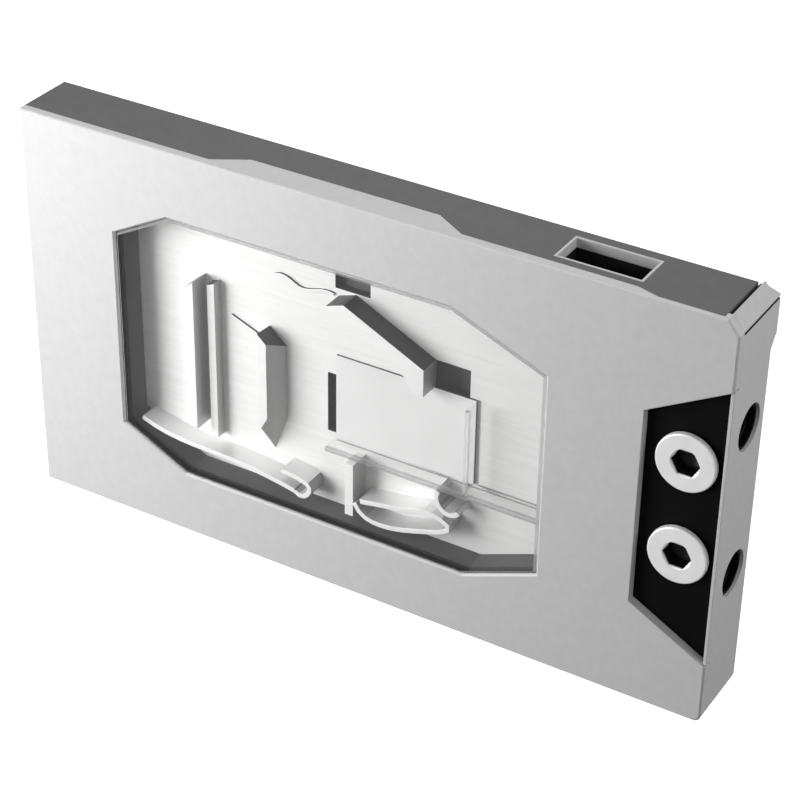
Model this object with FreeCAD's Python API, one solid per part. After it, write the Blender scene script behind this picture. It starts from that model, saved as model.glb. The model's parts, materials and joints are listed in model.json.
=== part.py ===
import FreeCAD, Part
import math
import os

os.makedirs("parts", exist_ok=True)

# Full-cover liquid cooling cold plate for a graphics card, standing on its long edge.
# Lengths are in mm. In the block's own working frame x runs from the left end to the port end,
# depth (y) runs back from the front face and z runs up from the bottom edge.

# ---- overall ---------------------------------------------------------------------------------
LENGTH = 234.0
HEIGHT = 133.0
END_DEPTH = 23.5            # front face to the back of the end plate
RAIL_DEPTH = 22.2           # front face to the back of the frame rails
EAR_REACH = 3.0             # the end plate's ear stands this far behind it
COVER_T = 3.0
RAIL_T = 3.0
END_T = 5.0
EDGE_BEVEL = 0.5
CORNER_R = 2.5              # lower corner at the port end
RAIL_CORNER_R = 4.0         # inside corners of the frame

# ---- stack behind the cover ------------------------------------------------------------------
LIP_T = 1.2                 # cover thinned over the lid
LID_BACK = 4.5              # rear face of the clear lid
FLOOR = 12.0                # chamber floor, the cold plate's front face
BASE_T = 5.0                # cold plate under the floor
RIB_CLEAR = 0.3             # tall ribs stop this short of the lid

# ---- window, an octagon ----------------------------------------------------------------------
WINDOW_LEFT = 33.0
WINDOW_BOTTOM = 21.7
WINDOW_RIGHT_MARGIN = 54.5
WINDOW_TOP_MARGIN = 22.0
CUT_BOTTOM_LEFT = (22.8, 11.3)      # corner cuts: along x, along z
CUT_BOTTOM_RIGHT = (24.4, 9.6)
CUT_TOP_RIGHT = (30.2, 12.3)
CUT_TOP_LEFT = (19.5, 10.4)
LID_MARGIN = 4.0                    # lid beyond the window all round
LID_FIT = 0.15
ISLAND_FIT = 0.3                    # raised middle of the lid inside the window
ISLAND_SINK = 0.3                   # raised middle below the front face
ISLAND_BEVEL = 0.8
SEAL_INSET = 1.2                    # seal groove outside the chamber wall
SEAL_W = 1.6
SEAL_T = 1.2

# ---- channel frame and cold plate outline ----------------------------------------------------
FRAME_LEFT_WALL = 14.0
FRAME_RIGHT_WALL = 16.5
FRAME_TOP_WALL = 11.5
FRAME_BOTTOM_WALL = 11.7
FRAME_CUT = (33.0, 14.5)            # top right corner of the frame
PLATE_OVERHANG = 6.0                # cold plate beyond the frame on the left

# ---- terminal and ports ----------------------------------------------------------------------
TERMINAL_FACE = 2.8
TERMINAL_BACK = 21.5
TERMINAL_MARGIN = 14.0              # terminal to the bottom and top edges
TERMINAL_CHAMFER = 4.0
TERMINAL_FIT = 0.15
NOTCH_WIDTH = 25.0                  # cover cut-out, from the port end
NOTCH_LOW = 20.0                    # at the port end
NOTCH_TOP_MARGIN = 21.2
NOTCH_SLANT = 13.8                  # the slanted sides close in by this
NOSE_BACK = 6.5
END_LIP = 1.0                       # thin front edge of the end plate beside the terminal
END_LIP_FRONT = 0.6
PORT_R = 5.9                        # wall of a G1/4 port
FRONT_PORT_FROM_END = 12.0
FRONT_PORT_SPACING = 30.7
FRONT_PORT_RISE = 3.75              # middle of the pair above the cut-out's middle
FRONT_PORT_BACK = 16.0
END_PORT_SPACING = 48.7
END_PORT_RISE = 3.35
END_PORT_DEPTH = 13.7
END_PORT_REACH = 13.0               # bore behind the end plate
SPIGOT_R = 6.85                     # port collar through the end plate
SPIGOT_SINK = 1.0
PASSAGE_W = 5.0                     # square passages between chamber and terminal
PASSAGE_FRONT = 5.2
PASSAGE_SPACING = 47.0
GASKET_T = 0.8                      # between channel frame and terminal
GASKET_W = 2.0                      # gasket round a passage
FLANGE_T = 2.0                      # end plate's rear flange
FLANGE_REACH = 14.0
FLANGE_SCREW_OUT = 1.0              # flange screws beyond the cut-out's corners
EAR_LOW = 16.0                      # ear's two ends below the top edge
EAR_HIGH = 4.0
EAR_SLOPE = 4.0
END_BEVEL = (3.5, 4.5)              # top corner of the end plate: along x, along z
GROOVE_W = 1.2
GROOVE_T = 1.2
END_GROOVE_W = 0.9

# ---- plugs -----------------------------------------------------------------------------------
PLUG_R = 9.1
PLUG_HEAD_T = 1.8
PLUG_THREAD = 5.0
PLUG_HEX = 7.6                      # across flats
PLUG_HEX_T = 5.0
PLUG_SEAL_R = 8.3
PLUG_SEAL_T = 0.5

# ---- top tab, connector slot -----------------------------------------------------------------
TAB_LEFT = 66.7
TAB_LENGTH = 83.3
TAB_SLANT = 10.4
TAB_REACH = 6.3                     # behind the cover
TAB_T = 2.0
TAB_FIT = 0.1
EDGE_RUN_END = 31.0                 # full-thickness top edge of the cover stops this far from the end
EDGE_RUN_SLANT = 7.0
THIN_EDGE = 1.0
SLOT_FROM_END = 31.5
SLOT_LENGTH = 25.0
SLOT_FRONT = 6.5
SLOT_WIDTH = 11.5
BEZEL_W = 0.8
WELL_T = 1.2
WELL_DEPTH = 11.5

# ---- M2.5 screws, in tapped hexagonal posts on the back of the cover --------------------------
SCREW_R = 1.25
SCREW_HOLE_R = 1.45
HEAD_FLATS = 5.0
HEAD_T = 1.8
POST_FLATS = 5.0
POST_FIT = 0.15
POST_WALL = 0.5                     # post to lid pocket
RAIL_POST_BACK = 8.0                # posts under the rails' lugs end at this depth
THREAD_T = 4.0
SCREW_SHORT = 0.2                   # screw tip short of the blind end
LUG_T = 4.0
LUG_W = 6.8

# ---- cold plate features ---------------------------------------------------------------------
CHIP_ACROSS = 64.71                 # processor's middle, in hundredths of the window
CHIP_UP = 43.79
FIN_LENGTH = 46.5
FIN_WIDTH = 27.0
FIN_DEPTH = 3.0
FIN_T = 0.7
FIN_PITCH = 1.5
FIN_END_GAP = 1.0
FIN_COVER_T = 0.8
FIN_COVER_RIM = 1.0
SLIT_W = 3.4                        # outlet slit beside the fins
SLIT_LENGTH = 20.7
SLIT_DROP = 3.2                     # slit's middle below the processor's
INLET_LENGTH = 11.5
INLET_FROM_END = 1.5                # inlet to the fins' right end
INLET_WIDTH = 9.0
MOUTH_LEFT = 70.8                   # pocket by the upper passage, from the window's left edge
MOUTH_SIZE = (12.0, 5.0)
MOUTH_DROP = 13.3                   # its lower side below the window's top edge
WEB_T = 1.2                         # clear webs on the lid
DIVIDER_START = (78.0, 13.6)        # from the window's left edge, below its top edge
DIVIDER_W = 6.0
STEM_OFFSET = 7.05                  # from the fins' left end
STEM_W = 2.9
VANE_W = 1.6
LOW_VANE_W = 0.9
LOW_VANE_H = 0.7
PEDESTAL_X = 36.0
PEDESTAL_Z = 32.0
PEDESTAL_T = 3.2
PAD_T = 2.0
MEMORY_X = 12.0
MEMORY_Z = 14.0
MEMORY_GAP = 4.0
LEFT_STRIP = (23.0, 10.0)           # from the window's left edge, width
RIGHT_STRIP = (25.0, 9.0)           # from the frame's right edge, width
LEFT_STRIP_MARGIN = 2.5
RIGHT_STRIP_MARGIN = 22.5
MOUNT_SPACING = 53.3
MOUNT_HOLE_R = 1.05
MOUNT_FLATS = 6.0
MOUNT_THREAD_T = 5.0
STANDOFF_T = 3.5
STANDOFF_NEAR = (6.0, 5.0)          # from the plate's left and bottom edges
STANDOFF_FAR = (5.0, 17.5)          # from its right and top edges

# ---- places worked out from the values above -------------------------------------------------
WINDOW_RIGHT = LENGTH - WINDOW_RIGHT_MARGIN
WINDOW_TOP = HEIGHT - WINDOW_TOP_MARGIN
END_X = LENGTH - END_T
PLATE_BACK = FLOOR + BASE_T
FRAME_LEFT = WINDOW_LEFT - FRAME_LEFT_WALL
FRAME_RIGHT = WINDOW_RIGHT + FRAME_RIGHT_WALL
FRAME_TOP = WINDOW_TOP + FRAME_TOP_WALL
FRAME_BOTTOM = WINDOW_BOTTOM - FRAME_BOTTOM_WALL
PLATE_LEFT = FRAME_LEFT - PLATE_OVERHANG
RIB_TOP = LID_BACK + RIB_CLEAR
TERMINAL_LEFT = FRAME_RIGHT + GASKET_T
TERMINAL_TOP = HEIGHT - TERMINAL_MARGIN
FLANGE_BACK = TERMINAL_BACK + FLANGE_T
NOTCH_HIGH = HEIGHT - NOTCH_TOP_MARGIN
NOTCH_MIDDLE = (NOTCH_LOW + NOTCH_HIGH) / 2
PORT_X = LENGTH - FRONT_PORT_FROM_END
FRONT_PORT_Z = [NOTCH_MIDDLE + FRONT_PORT_RISE + side * FRONT_PORT_SPACING / 2 for side in (-1, 1)]
END_PORT_Z = [NOTCH_MIDDLE + END_PORT_RISE + side * END_PORT_SPACING / 2 for side in (-1, 1)]
WALL_MIDDLE = (WINDOW_BOTTOM + CUT_BOTTOM_RIGHT[1] + WINDOW_TOP - CUT_TOP_RIGHT[1]) / 2
PASSAGE_Z = [WALL_MIDDLE + side * PASSAGE_SPACING / 2 for side in (-1, 1)]
PLUG_BACK = TERMINAL_FACE - PLUG_SEAL_T
SLOT_RIGHT = LENGTH - SLOT_FROM_END
SLOT_LEFT = SLOT_RIGHT - SLOT_LENGTH
SLOT_BACK = SLOT_FRONT + SLOT_WIDTH
WELL_BOTTOM = HEIGHT - RAIL_T - WELL_DEPTH
SCREW_INSET = LID_MARGIN + POST_FLATS / math.sqrt(3) + POST_FIT + POST_WALL   # window wall to screw


def inside(across, up):
    """A point of the window, in hundredths of its length and height from the lower left."""
    return (WINDOW_LEFT + across / 100 * (WINDOW_RIGHT - WINDOW_LEFT),
            WINDOW_BOTTOM + up / 100 * (WINDOW_TOP - WINDOW_BOTTOM))


CHIP_X, CHIP_Z = inside(CHIP_ACROSS, CHIP_UP)
FIN_LEFT = CHIP_X - FIN_LENGTH / 2
FIN_RIGHT = CHIP_X + FIN_LENGTH / 2
FIN_BOTTOM = CHIP_Z - FIN_WIDTH / 2
FIN_TOP = CHIP_Z + FIN_WIDTH / 2


# ---- shapes in the working frame -------------------------------------------------------------
def point(x, depth, z):
    return FreeCAD.Vector(x, depth, z)


def block(x, depth, z):
    """A box from three (low, high) pairs."""
    size = [high - low for low, high in (x, depth, z)]
    return Part.makeBox(size[0], size[1], size[2], point(x[0], depth[0], z[0]))


def prism(outline, front, back):
    """An outline of (x, z) points, extruded from one depth to another."""
    ring = [point(x, front, z) for x, z in outline]
    face = Part.Face(Part.makePolygon(ring + ring[:1]))
    return face.extrude(point(0, back - front, 0))


def slab(outline, low, high):
    """An outline of (x, depth) points, extruded upwards."""
    ring = [point(x, depth, low) for x, depth in outline]
    face = Part.Face(Part.makePolygon(ring + ring[:1]))
    return face.extrude(point(0, 0, high - low))


def rod(x, z, radius, front, back):
    """A cylinder along the depth."""
    return Part.makeCylinder(radius, back - front, point(x, front, z), point(0, 1, 0))


def cross_rod(depth, z, radius, left, right):
    """A cylinder along x."""
    return Part.makeCylinder(radius, right - left, point(left, depth, z), point(1, 0, 0))


def hex_rod(x, z, across_flats, front, back):
    return prism(hexagon(x, z, across_flats), front, back)


def hexagon(x, z, across_flats):
    corner = across_flats / math.sqrt(3)
    turns = [math.radians(60 * side) for side in range(6)]
    return [(x + corner * math.cos(a), z + corner * math.sin(a)) for a in turns]


def grow(outline, margin):
    """Move every side of a convex, anticlockwise outline out by a margin."""
    grown = []
    for here in range(len(outline)):
        (x0, z0), (x1, z1), (x2, z2) = [outline[(here + step) % len(outline)] for step in (-1, 0, 1)]
        before = math.hypot(x1 - x0, z1 - z0)
        after = math.hypot(x2 - x1, z2 - z1)
        normal_before = ((z1 - z0) / before, (x0 - x1) / before)
        normal_after = ((z2 - z1) / after, (x1 - x2) / after)
        share = 1 + normal_before[0] * normal_after[0] + normal_before[1] * normal_after[1]
        grown.append((x1 + margin * (normal_before[0] + normal_after[0]) / share,
                      z1 + margin * (normal_before[1] + normal_after[1]) / share))
    return grown


def ring_between(outline, inner, outer, front, back):
    return prism(grow(outline, outer), front, back).cut(prism(grow(outline, inner), front, back))


def joined(shapes):
    return shapes[0].multiFuse(shapes[1:]).removeSplitter()


def without(shape, cutters):
    return shape.cut(cutters)


def depth_edges(shape, x, z):
    """Edges that run along the depth through one (x, z) point."""
    found = []
    for edge in shape.Edges:
        ends = [vertex.Point for vertex in edge.Vertexes]
        if all(abs(end.x - x) < 0.01 and abs(end.z - z) < 0.01 for end in ends):
            found.append(edge)
    return found


def front_edges(shape, depth):
    """Edges that lie in the plane at one depth."""
    return [edge for edge in shape.Edges if all(abs(v.Y - depth) < 0.001 for v in edge.Vertexes)]


def save(node, shape):
    """Write one node, moved so that the whole block stands centred on the origin."""
    placed = shape.copy()
    placed.translate(point(-LENGTH / 2, -(END_DEPTH + EAR_REACH) / 2, 0))
    placed.exportStep("parts/" + node + ".step")


# ---- shared outlines and screw places --------------------------------------------------------
def octagon():
    """The window, anticlockwise from the lower left."""
    return [(WINDOW_LEFT + CUT_BOTTOM_LEFT[0], WINDOW_BOTTOM),
            (WINDOW_RIGHT - CUT_BOTTOM_RIGHT[0], WINDOW_BOTTOM),
            (WINDOW_RIGHT, WINDOW_BOTTOM + CUT_BOTTOM_RIGHT[1]),
            (WINDOW_RIGHT, WINDOW_TOP - CUT_TOP_RIGHT[1]),
            (WINDOW_RIGHT - CUT_TOP_RIGHT[0], WINDOW_TOP),
            (WINDOW_LEFT + CUT_TOP_LEFT[0], WINDOW_TOP),
            (WINDOW_LEFT, WINDOW_TOP - CUT_TOP_LEFT[1]),
            (WINDOW_LEFT, WINDOW_BOTTOM + CUT_BOTTOM_LEFT[1])]


def passage(z, margin, left, right):
    """A square bar along x, round the line of one passage."""
    half = PASSAGE_W / 2 + margin
    return block((left, right), (PASSAGE_FRONT - margin, PASSAGE_FRONT + PASSAGE_W + margin),
                 (z - half, z + half))


def frame_outline(left):
    return [(left, FRAME_BOTTOM), (FRAME_RIGHT, FRAME_BOTTOM),
            (FRAME_RIGHT, FRAME_TOP - FRAME_CUT[1]), (FRAME_RIGHT - FRAME_CUT[0], FRAME_TOP),
            (left, FRAME_TOP)]


def notch_outline(shrink, right):
    """The terminal's place in the cover, as far as the given right edge."""
    left = LENGTH - NOTCH_WIDTH + shrink
    slope = NOTCH_SLANT / NOTCH_WIDTH
    gain = slope * (right - left)
    low = NOTCH_LOW + NOTCH_SLANT - slope * shrink + shrink
    high = NOTCH_HIGH - NOTCH_SLANT + slope * shrink - shrink
    return [(left, low), (right, low - gain), (right, high + gain), (left, high)]


def clamp_points():
    """Screws that clamp cold plate, channel frame and cover together."""
    low = WINDOW_BOTTOM - SCREW_INSET
    high = WINDOW_TOP + SCREW_INSET
    slant = math.hypot(*CUT_TOP_RIGHT)
    corner = (WINDOW_RIGHT - CUT_TOP_RIGHT[0] / 2 + SCREW_INSET * CUT_TOP_RIGHT[1] / slant,
              WINDOW_TOP - CUT_TOP_RIGHT[1] / 2 + SCREW_INSET * CUT_TOP_RIGHT[0] / slant)
    return [(WINDOW_LEFT + CUT_BOTTOM_LEFT[0], low), (WINDOW_RIGHT - CUT_BOTTOM_RIGHT[0], low),
            (WINDOW_LEFT + CUT_TOP_LEFT[0], high), (WINDOW_LEFT - SCREW_INSET, WALL_MIDDLE),
            (WINDOW_RIGHT + SCREW_INSET, WALL_MIDDLE), corner]


def lug_points():
    """Screws that hold the frame rails to the cover."""
    inset = RAIL_T + LUG_W / 2
    return [(FRAME_LEFT, inset), (FRAME_RIGHT, inset), (FRAME_LEFT, HEIGHT - inset),
            (SLOT_LEFT - 1.5 * LUG_W, HEIGHT - inset)]


def flange_points():
    """Screws through the end plate's flange, in long posts through the terminal."""
    return [(PORT_X, NOTCH_LOW - FLANGE_SCREW_OUT), (PORT_X, NOTCH_HIGH + FLANGE_SCREW_OUT)]


# ---- front cover -----------------------------------------------------------------------------
def tab_outline(fit):
    left = TAB_LEFT - fit
    right = TAB_LEFT + TAB_LENGTH + fit
    back = COVER_T + TAB_REACH + fit
    return [(left, COVER_T), (right, COVER_T), (right - TAB_SLANT, back), (left + TAB_SLANT, back)]


def thin_edge_outline():
    """Where the top rail comes forward behind the cover's thin top edge."""
    start = LENGTH - EDGE_RUN_END
    return [(start, COVER_T), (start + EDGE_RUN_SLANT, THIN_EDGE), (END_X, THIN_EDGE), (END_X, COVER_T)]


def corner_bevel():
    """The wedge taken off the top corner at the port end."""
    across, down = END_BEVEL
    return prism([(LENGTH - across, HEIGHT), (LENGTH, HEIGHT - down), (LENGTH + 1, HEIGHT + 1)],
                 -1, END_DEPTH + EAR_REACH + 1)


def front_cover():
    plate = block((0, LENGTH), (0, COVER_T), (0, HEIGHT))
    plate = plate.makeFillet(CORNER_R, depth_edges(plate, LENGTH, 0))
    plate = without(plate, [prism(octagon(), -1, COVER_T + 1), corner_bevel()])
    plate = plate.makeChamfer(EDGE_BEVEL, front_edges(plate, 0))
    lid_pocket = prism(grow(octagon(), LID_MARGIN), LIP_T, COVER_T + 1)
    notch = prism(notch_outline(0, LENGTH + 1), -1, COVER_T + 1)
    thin_edge = slab(thin_edge_outline(), HEIGHT - RAIL_T, HEIGHT + 1)
    plate = without(plate, [lid_pocket, notch, thin_edge])
    tab = slab(tab_outline(0), HEIGHT - TAB_T, HEIGHT)
    return plate.fuse(tab).removeSplitter()


def cover_posts():
    """Tapped hexagonal posts, pressed on to the back of the cover."""
    posts = []
    for places, back in ((clamp_points(), FLOOR), (lug_points(), RAIL_POST_BACK),
                         (flange_points(), TERMINAL_BACK)):
        for x, z in places:
            post = hex_rod(x, z, POST_FLATS, COVER_T, back)
            posts.append(post.cut(rod(x, z, SCREW_R, back - THREAD_T, back)))
    return Part.makeCompound(posts)


# ---- frame rails, connector slot -------------------------------------------------------------
def slot_block(margin, low, high):
    return block((SLOT_LEFT - margin, SLOT_RIGHT + margin),
                 (SLOT_FRONT - margin, SLOT_BACK + margin), (low, high))


def housing_frame():
    rails = block((0, END_X), (COVER_T, RAIL_DEPTH), (0, HEIGHT))
    inside = block((RAIL_T, END_X + RAIL_CORNER_R + 1), (0, RAIL_DEPTH + 1), (RAIL_T, HEIGHT - RAIL_T))
    corners = depth_edges(inside, RAIL_T, RAIL_T) + depth_edges(inside, RAIL_T, HEIGHT - RAIL_T)
    rails = rails.cut(inside.makeFillet(RAIL_CORNER_R, corners))
    rails = rails.fuse(slab(thin_edge_outline(), HEIGHT - RAIL_T, HEIGHT))
    tab_seat = slab(tab_outline(TAB_FIT), HEIGHT - TAB_T, HEIGHT + 1)
    lug_depth = (RAIL_POST_BACK, RAIL_POST_BACK + LUG_T)
    lugs, holes = [], []
    for x, z in lug_points():
        low = RAIL_T / 2 if z < HEIGHT / 2 else z - LUG_W / 2
        high = z + LUG_W / 2 if z < HEIGHT / 2 else HEIGHT - RAIL_T / 2
        lugs.append(block((x - LUG_W / 2, x + LUG_W / 2), lug_depth, (low, high)))
        holes.append(rod(x, z, SCREW_HOLE_R, *lug_depth))
    slot = slot_block(BEZEL_W, HEIGHT - RAIL_T - 1, HEIGHT + 1)
    return without(joined([rails] + lugs), [tab_seat, slot] + holes)


def slot_bezel():
    low = HEIGHT - RAIL_T
    return slot_block(BEZEL_W, low, HEIGHT).cut(slot_block(0, low, HEIGHT))


def connector_well():
    high = HEIGHT - RAIL_T
    return slot_block(WELL_T, WELL_BOTTOM, high).cut(slot_block(0, WELL_BOTTOM, high))


# ---- lid, channel frame and seals ------------------------------------------------------------
def web_lines():
    """Clear webs that part inlet from outlet: (x pair, z pair)."""
    low = FIN_BOTTOM - FIN_COVER_RIM - WEB_T
    right = FIN_RIGHT + FIN_COVER_RIM
    high = FIN_TOP + FIN_COVER_RIM
    return [((FIN_LEFT, WINDOW_RIGHT), (low, low + WEB_T)),
            ((right, right + WEB_T), (low, high))]


def clear_lid():
    flange = prism(grow(octagon(), LID_MARGIN - LID_FIT), LIP_T, LID_BACK)
    island = prism(grow(octagon(), -ISLAND_FIT), ISLAND_SINK, LIP_T)
    island = island.makeChamfer(ISLAND_BEVEL, front_edges(island, ISLAND_SINK))
    webs = [block(x, (LID_BACK, FLOOR), z) for x, z in web_lines()]
    return joined([flange, island] + webs)


def channel_frame():
    body = prism(frame_outline(FRAME_LEFT), COVER_T, FLOOR)
    cutters = [prism(grow(octagon(), LID_MARGIN), COVER_T - 1, LID_BACK),
               prism(octagon(), LID_BACK - 1, FLOOR + 1),
               ring_between(octagon(), SEAL_INSET, SEAL_INSET + SEAL_W, LID_BACK, LID_BACK + SEAL_T),
               ring_between(octagon(), SEAL_INSET, SEAL_INSET + SEAL_W, FLOOR - SEAL_T, FLOOR)]
    cutters += [hex_rod(x, z, POST_FLATS + 2 * POST_FIT, COVER_T, FLOOR) for x, z in clamp_points()]
    cutters += [passage(z, 0, WINDOW_RIGHT - 1, FRAME_RIGHT + 1) for z in PASSAGE_Z]
    return without(body, cutters)


def lid_seal():
    return ring_between(octagon(), SEAL_INSET, SEAL_INSET + SEAL_W, LID_BACK, LID_BACK + SEAL_T)


def base_seal():
    return ring_between(octagon(), SEAL_INSET, SEAL_INSET + SEAL_W, FLOOR - SEAL_T, FLOOR)


# ---- cold plate ------------------------------------------------------------------------------
def vane(curve, width=VANE_W, front=RIB_TOP):
    """A guide vane along a smooth curve of points in hundredths of the window."""
    spline = Part.BSplineCurve()
    places = [inside(across, up) for across, up in curve]
    spline.interpolate([point(x, FLOOR, z) for x, z in places])
    steps = 3 * (len(curve) - 1)
    span = spline.LastParameter - spline.FirstParameter
    left, right = [], []
    for step in range(steps + 1):
        at = spline.FirstParameter + span * step / steps
        here = spline.value(at)
        along = spline.tangent(at)[0]
        left.append((here.x - along.z * width / 2, here.z + along.x * width / 2))
        right.append((here.x + along.z * width / 2, here.z - along.x * width / 2))
    return prism(right + left[::-1], front, FLOOR)


def chamber_ribs():
    """Three upright ribs; the last is a wedge that narrows towards its crest."""
    outer = [inside(14.7, 18.3), inside(16.9, 16.5), inside(16.9, 74.9), inside(14.7, 72.0)]
    inner = [inside(18.7, 14.3), inside(20.5, 12.7), inside(20.5, 74.2), inside(18.7, 73.1)]
    foot = [inside(32.5, 16.0), inside(33.4, 13.8), inside(36.6, 28.3), inside(36.6, 56.5),
            inside(32.5, 62.5)]
    crest = [inside(32.5, 27.2), inside(33.2, 26.1), inside(34.7, 30.6), inside(34.7, 60.0),
             inside(32.5, 63.2)]
    rings = [Part.makePolygon([point(x, depth, z) for x, z in line + line[:1]])
             for line, depth in ((foot, FLOOR), (crest, RIB_TOP))]
    return [prism(outer, RIB_TOP, FLOOR), prism(inner, (RIB_TOP + FLOOR) / 2, FLOOR),
            Part.makeLoft(rings, True, True)]


def divider():
    """The slanted wall above the fins, down to the inlet."""
    cover_top = FIN_TOP + FIN_COVER_RIM
    start_x, start_z = WINDOW_LEFT + DIVIDER_START[0], WINDOW_TOP - DIVIDER_START[1]
    end_x, end_z = FIN_RIGHT - INLET_FROM_END - INLET_LENGTH, cover_top + INLET_WIDTH
    return prism([(start_x, start_z), (start_x - DIVIDER_W, start_z - DIVIDER_W / 3),
                  (end_x - DIVIDER_W, end_z - INLET_WIDTH / 2), (end_x - DIVIDER_W * 2 / 3, cover_top),
                  (end_x, cover_top), (end_x, end_z)], RIB_TOP, FLOOR)


def guide_vanes():
    """Curved vanes along the chamber's lower side, and the straight stem between them."""
    stem_left = FIN_LEFT + STEM_OFFSET
    stem = block((stem_left, stem_left + STEM_W), (RIB_TOP, FLOOR), (inside(0, 3.1)[1], inside(0, 23.9)[1]))
    sweep = vane([(2.4, 13.2), (10.2, 9.9), (22.5, 8.8), (33.6, 7.2), (41.2, 5.0)])
    curl = vane([(41.2, 5.0), (44.1, 4.8), (44.9, 8.2), (42.6, 10.4), (38.0, 11.6)])
    spoon = vane([(55.9, 8.9), (58.3, 4.6), (64.9, 3.9), (72.0, 7.0), (78.2, 12.6), (75.2, 15.0),
                  (68.2, 13.4), (61.7, 11.6), (57.3, 10.3)])
    hook = vane([(75.6, 25.5), (75.8, 19.9), (77.6, 17.7), (80.3, 19.4)])
    low = [vane(curve, LOW_VANE_W, FLOOR - LOW_VANE_H)
           for curve in ([(23.2, 62.0), (31.6, 56.6)],
                         [(34.3, 83.5), (37.6, 83.2), (39.9, 81.3), (45.9, 82.9), (48.2, 82.7)])]
    return [stem, sweep, curl, spoon, hook] + low


def memory_pads():
    """Contact lands for the memory chips, in a ring round the processor."""
    reach = MOUNT_SPACING / 2 + MEMORY_X
    step = MEMORY_Z + MEMORY_GAP
    lands = [(CHIP_X + side * reach, CHIP_Z + row * step, MEMORY_X, MEMORY_Z)
             for side in (-1, 1) for row in (-1, 0, 1)]
    lands += [(CHIP_X + column * step, CHIP_Z + reach, MEMORY_Z, MEMORY_X) for column in (-1, 0, 1)]
    depth = (PLATE_BACK, PLATE_BACK + PAD_T)
    return [block((x - wide / 2, x + wide / 2), depth, (z - high / 2, z + high / 2))
            for x, z, wide, high in lands]


def mount_points():
    half = MOUNT_SPACING / 2
    return [(CHIP_X + sx * half, CHIP_Z + sz * half) for sx in (-1, 1) for sz in (-1, 1)]


def standoff_points():
    across = (PLATE_LEFT + STANDOFF_NEAR[0], FRAME_RIGHT - STANDOFF_FAR[0])
    up = (FRAME_BOTTOM + STANDOFF_NEAR[1], FRAME_TOP - STANDOFF_FAR[1])
    return [(x, z) for x in across for z in up]


def fins():
    """Thin upright fins in the bed under the fin cover."""
    count = int((FIN_WIDTH - FIN_PITCH) / FIN_PITCH)
    first = CHIP_Z - (count - 1) * FIN_PITCH / 2
    return [block((FIN_LEFT + FIN_END_GAP, FIN_RIGHT - FIN_END_GAP), (FLOOR, FLOOR + FIN_DEPTH),
                  (first + turn * FIN_PITCH - FIN_T / 2, first + turn * FIN_PITCH + FIN_T / 2))
            for turn in range(count)]


def chamber_pockets():
    """Fin bed, outlet slit, inlet and mouth, all milled to the same depth."""
    depth = (FLOOR, FLOOR + FIN_DEPTH)
    mouth_left = WINDOW_LEFT + MOUTH_LEFT
    mouth_low = WINDOW_TOP - MOUTH_DROP
    slit_middle = CHIP_Z - SLIT_DROP
    inlet_right = FIN_RIGHT - INLET_FROM_END
    cover_top = FIN_TOP + FIN_COVER_RIM
    return [block((FIN_LEFT, FIN_RIGHT), depth, (FIN_BOTTOM, FIN_TOP)),
            block((FIN_LEFT - SLIT_W, FIN_LEFT), depth,
                  (slit_middle - SLIT_LENGTH / 2, slit_middle + SLIT_LENGTH / 2)),
            block((inlet_right - INLET_LENGTH, inlet_right), depth, (CHIP_Z, cover_top + INLET_WIDTH)),
            block((mouth_left, mouth_left + MOUTH_SIZE[0]), depth, (mouth_low, mouth_low + MOUTH_SIZE[1]))]


def contact_lands():
    """Raised faces on the back: processor, memory and the two power strips."""
    pedestal = block((CHIP_X - PEDESTAL_X / 2, CHIP_X + PEDESTAL_X / 2),
                     (PLATE_BACK, PLATE_BACK + PEDESTAL_T),
                     (CHIP_Z - PEDESTAL_Z / 2, CHIP_Z + PEDESTAL_Z / 2))
    strip_depth = (PLATE_BACK, PLATE_BACK + PAD_T)
    left = WINDOW_LEFT + LEFT_STRIP[0]
    right = FRAME_RIGHT - RIGHT_STRIP[0]
    left_strip = block((left, left + LEFT_STRIP[1]), strip_depth,
                       (WINDOW_BOTTOM + LEFT_STRIP_MARGIN, WINDOW_TOP - LEFT_STRIP_MARGIN))
    right_strip = block((right, right + RIGHT_STRIP[1]), strip_depth,
                        (WINDOW_BOTTOM + RIGHT_STRIP_MARGIN, FRAME_TOP - RIGHT_STRIP_MARGIN))
    return [pedestal, left_strip, right_strip] + memory_pads()


def cold_plate():
    body = prism(frame_outline(PLATE_LEFT), FLOOR, PLATE_BACK)
    body = without(body, chamber_pockets())
    posts = mount_points() + standoff_points()
    post_back = PLATE_BACK + STANDOFF_T
    bosses = [hex_rod(x, z, MOUNT_FLATS, PLATE_BACK, post_back) for x, z in posts]
    threads = [rod(x, z, MOUNT_HOLE_R, post_back - MOUNT_THREAD_T, post_back) for x, z in posts]
    clamps = [rod(x, z, SCREW_HOLE_R, FLOOR, PLATE_BACK) for x, z in clamp_points()]
    raised = contact_lands() + bosses + chamber_ribs() + [divider()] + guide_vanes()
    body = without(joined([body] + raised), threads + clamps)
    return body.multiFuse(fins())


def fin_cover():
    return block((FIN_LEFT, FIN_RIGHT + FIN_COVER_RIM), (FLOOR - FIN_COVER_T, FLOOR),
                 (FIN_BOTTOM - FIN_COVER_RIM, FIN_TOP + FIN_COVER_RIM))


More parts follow.
